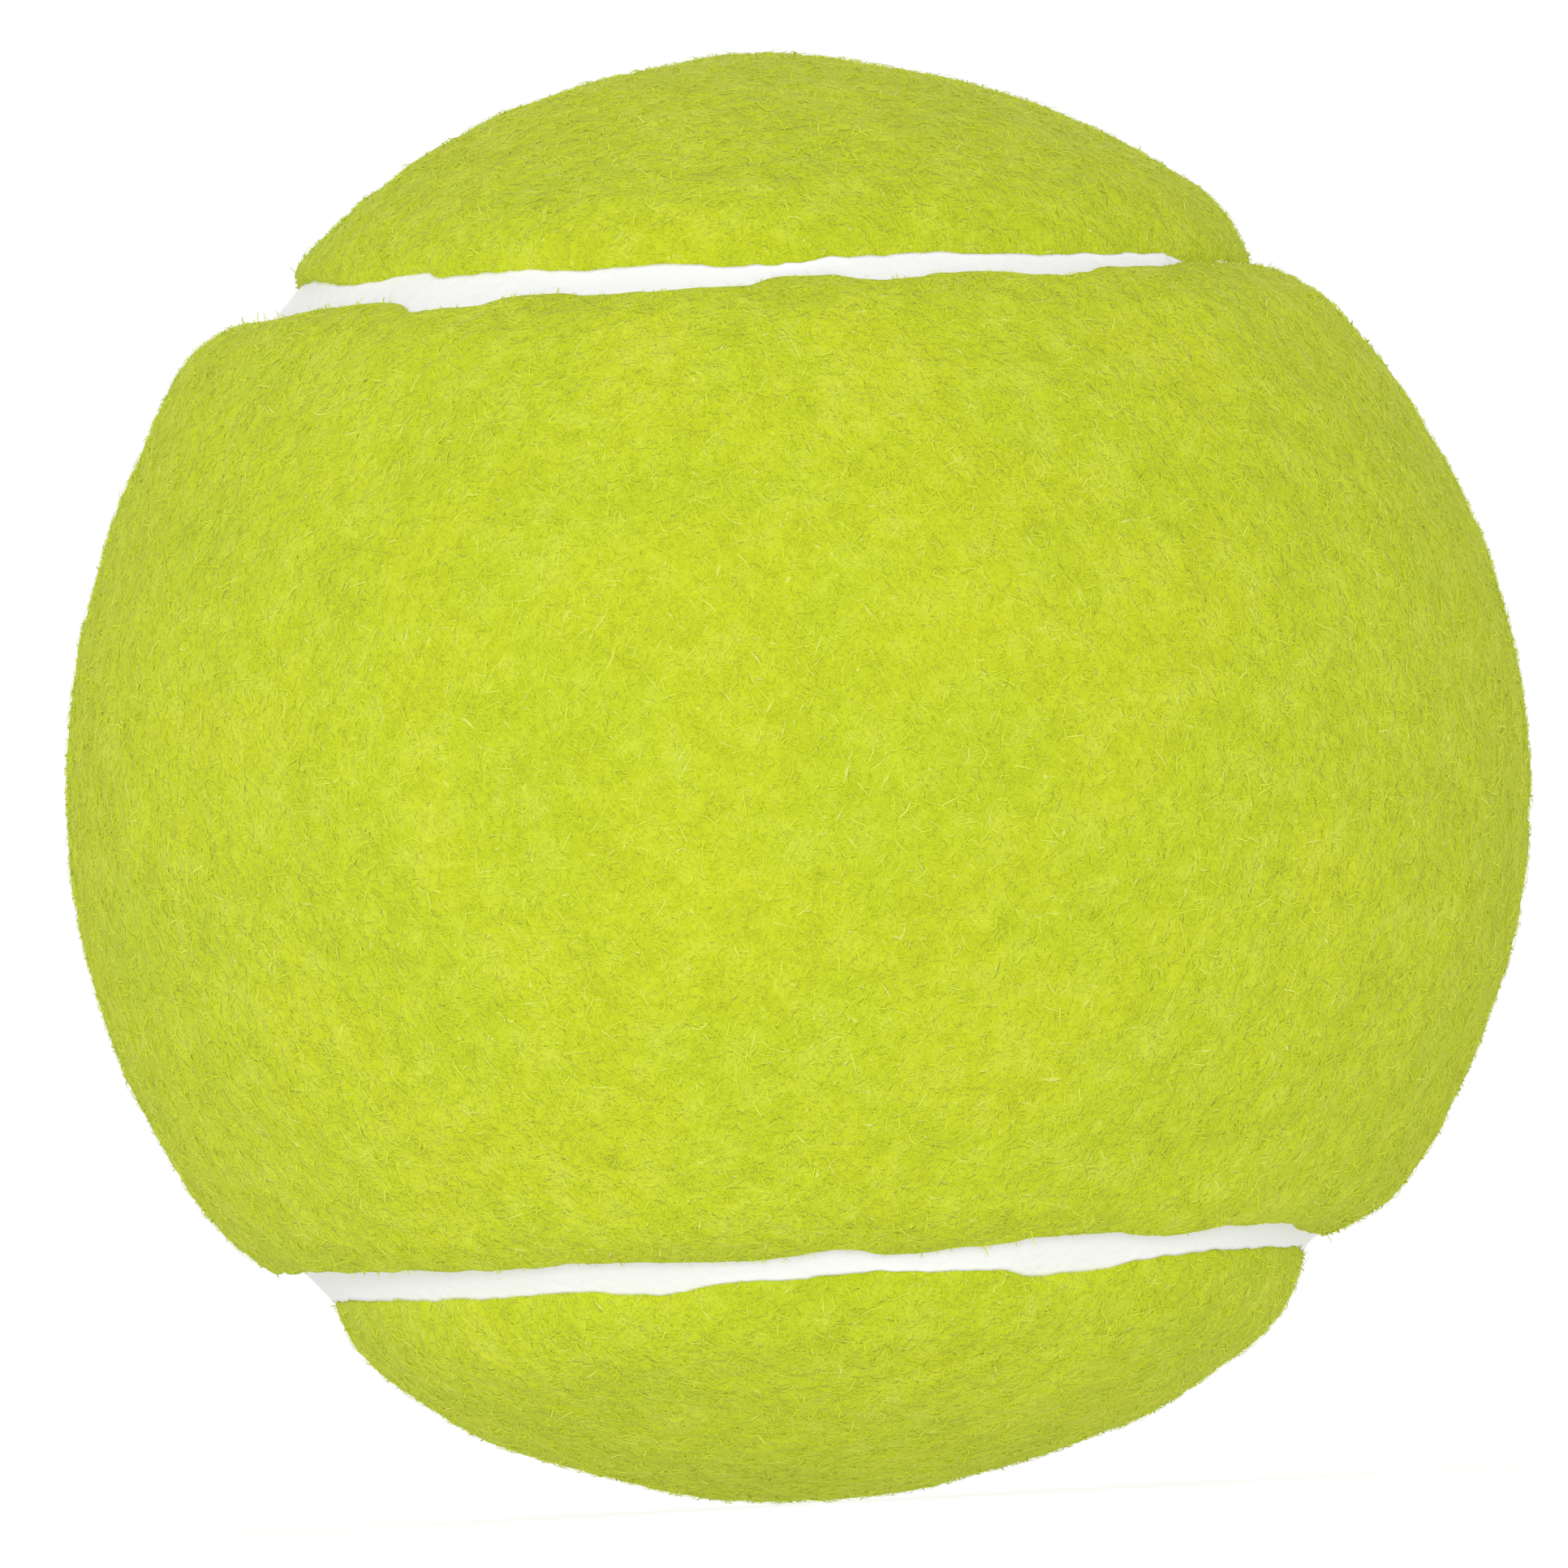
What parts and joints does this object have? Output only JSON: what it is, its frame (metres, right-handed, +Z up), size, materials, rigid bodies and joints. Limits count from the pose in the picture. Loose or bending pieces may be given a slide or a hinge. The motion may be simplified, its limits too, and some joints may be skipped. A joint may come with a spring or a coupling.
{
  "type": "tennis ball",
  "caption": "Tennis ball: a glued hollow rubber core under two dumbbell-shaped yellow-green felt panels with one recessed white seam.",
  "frame": {"origin": "centre of the ball", "axes": "+Z up as in the picture, +X to its right, +Y away from the camera. The Y axis is the ball's fourfold rotation-reflection axis: the waist of the front panel crosses it at -Y and the waist of the back panel at +Y"},
  "size_m": [0.067, 0.067, 0.067],
  "materials": {
    "felt": "napped wool and nylon melton cloth",
    "seam_rubber": "matte vulcanised rubber",
    "core_rubber": "moulded and ground",
    "cement": "cured rubber solution",
    "backing_rubber": "spread rubber"
  },
  "bodies": {
    "root": {"core_half_front": "core_rubber", "core_half_back": "core_rubber", "core_joint_cement": "cement", "core_cement_coat": "cement", "cloth_backing_front": "backing_rubber", "cloth_backing_back": "backing_rubber", "felt_panel_front": "felt", "felt_panel_back": "felt", "seam_rubber": "seam_rubber"}
  },
  "joints": []
}
